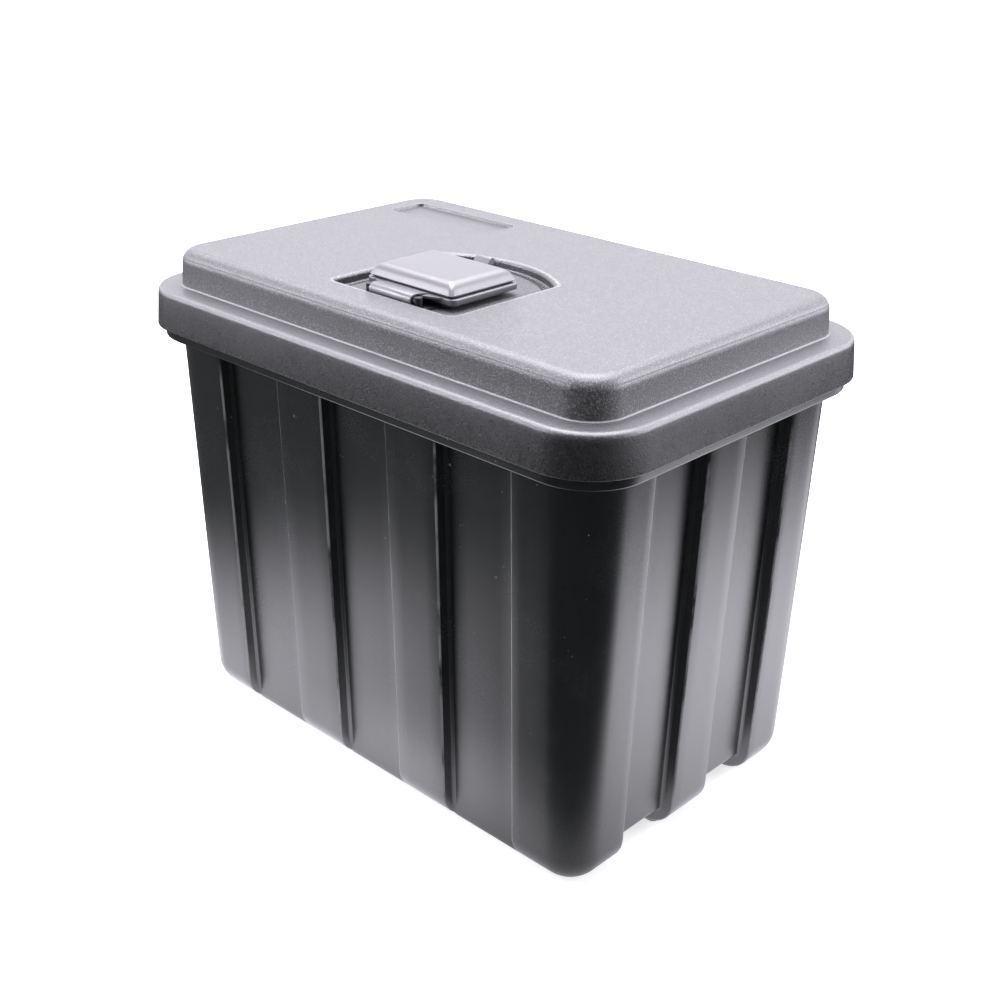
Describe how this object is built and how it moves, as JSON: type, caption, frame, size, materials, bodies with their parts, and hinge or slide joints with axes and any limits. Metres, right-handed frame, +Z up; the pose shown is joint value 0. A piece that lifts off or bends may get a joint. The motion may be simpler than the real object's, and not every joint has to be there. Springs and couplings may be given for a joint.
{
  "type": "tool box",
  "caption": "Ribbed moulded tool box for a vehicle: leaning corrugated tub, hinged skirted lid with a raised panel, and a quarter-turn latch under a dust cover.",
  "frame": {"origin": "on the flat under the middle of the tub, where the box stands", "axes": "+Z up; X along the length; the latch side faces -Y and the hinge side +Y"},
  "size_m": [0.5, 0.3495, 0.4217],
  "materials": {
    "shell_plastic": "fine grained, satin",
    "lock_plastic": "satin",
    "soft_rubber": "matt",
    "cover_rubber": "satin",
    "zinc_steel": "zinc plated",
    "bare_steel": "turned",
    "plug_chrome": "polished",
    "tail_brass": "bare"
  },
  "bodies": {
    "tub": {"body_shell": "shell_plastic", "keeper": "zinc_steel", "keeper_screws": "zinc_steel", "hinge_pin_left": "zinc_steel", "hinge_pin_right": "zinc_steel", "hinge_pin_caps": "zinc_steel"},
    "lid": {"lid_shell": "shell_plastic", "lid_seal": "soft_rubber", "lock_housing": "lock_plastic", "housing_gasket": "soft_rubber", "housing_nut": "lock_plastic", "cover_hinge_bar": "lock_plastic"},
    "latch": {"turn_handle": "lock_plastic", "spindle": "bare_steel", "spindle_seal": "soft_rubber", "stop_washer": "zinc_steel", "latch_cam": "zinc_steel", "spring_washer": "bare_steel", "cam_nut": "zinc_steel"},
    "key_plug": {"lock_plug": "plug_chrome", "plug_tail": "tail_brass"},
    "cover": {"dust_cover": "cover_rubber"}
  },
  "joints": [
    {"name": "lid_hinge", "type": "hinge", "parent": "tub", "child": "lid", "pos_m": [0, 0.176, 0.339], "axis": [-1, 0, 0], "range_deg": [0, 105]},
    {"name": "cover_hinge", "type": "hinge", "parent": "lid", "child": "cover", "pos_m": [0, -0.1039, 0.4081], "axis": [1, 0, 0], "range_deg": [0, 110]},
    {"name": "latch_turn", "type": "hinge", "parent": "lid", "child": "latch", "pos_m": [0, -0.0555, 0.39], "axis": [0, 0, -1], "range_deg": [0, 90]},
    {"name": "key_turn", "type": "hinge", "parent": "latch", "child": "key_plug", "pos_m": [0, -0.0555, 0.415], "axis": [0, 0, -1], "range_deg": [0, 90]}
  ]
}
